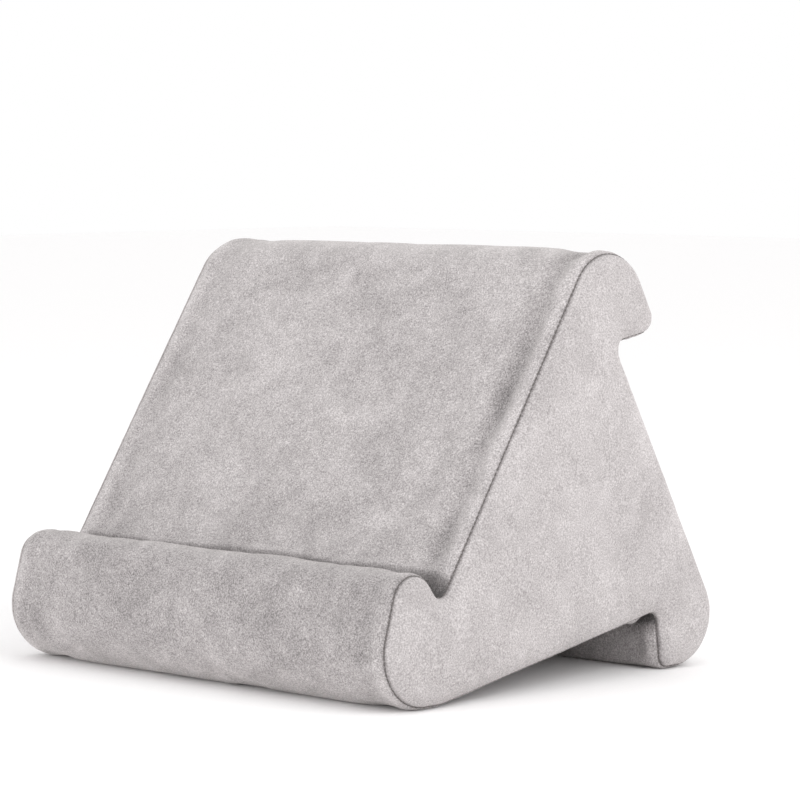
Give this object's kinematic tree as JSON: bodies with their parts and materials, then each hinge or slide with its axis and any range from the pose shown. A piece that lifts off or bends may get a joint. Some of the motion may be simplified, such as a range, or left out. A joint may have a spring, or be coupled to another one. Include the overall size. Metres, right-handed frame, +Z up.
{
  "type": "tablet stand",
  "caption": "Soft three-sided foam tablet stand with a ledge on each face and a zipped velvet cover whose slider runs and whose pull flips.",
  "frame": {"origin": "on the surface that the cushion stands on, under the middle of its bounding box", "axes": "+X to the right along the cushion, seen from the front, which is the side of the low front ledge; +Y to the back; +Z up"},
  "size_m": [0.28, 0.2448, 0.2175],
  "materials": {
    "cover_fabric": "short-pile velvet, light warm grey",
    "end_fabric": "short-pile velvet, light warm grey, seen across the nap",
    "thread": "twisted polyester sewing thread",
    "foam": "open-cell polyurethane foam, cream",
    "zipper_tape": "woven polyester tape",
    "zipper_coil": "nylon monofilament",
    "zipper_metal": "satin nickel plating on zinc",
    "label": "blank white satin ribbon"
  },
  "bodies": {
    "cushion": {"foam_core": "foam", "front_panel": "cover_fabric", "base_panel": "cover_fabric", "back_panel_lower": "cover_fabric", "back_panel_upper": "cover_fabric", "end_panel_left": "end_fabric", "end_panel_right": "end_fabric", "end_seam_thread_left": "thread", "end_seam_thread_right": "thread", "front_groove_thread": "thread", "rear_groove_thread": "thread", "base_groove_thread": "thread", "zipper_tape_upper": "zipper_tape", "zipper_tape_lower": "zipper_tape", "zipper_coil_upper": "zipper_coil", "zipper_coil_lower": "zipper_coil", "zipper_stitches_upper": "thread", "zipper_stitches_lower": "thread", "care_label": "label"},
    "slider": {"zipper_slider": "zipper_metal"},
    "pull": {"zipper_pull": "zipper_metal"}
  },
  "joints": [
    {"name": "slider_slide", "type": "slide", "parent": "cushion", "child": "slider", "axis": [-1, 0, 0], "range_m": [0, 0.248]},
    {"name": "pull_hinge", "type": "hinge", "parent": "slider", "child": "pull", "pos_m": [0.124, 0.10653, 0.06855], "axis": [0, 0.4938, -0.8696], "range_deg": [0, 175]}
  ]
}
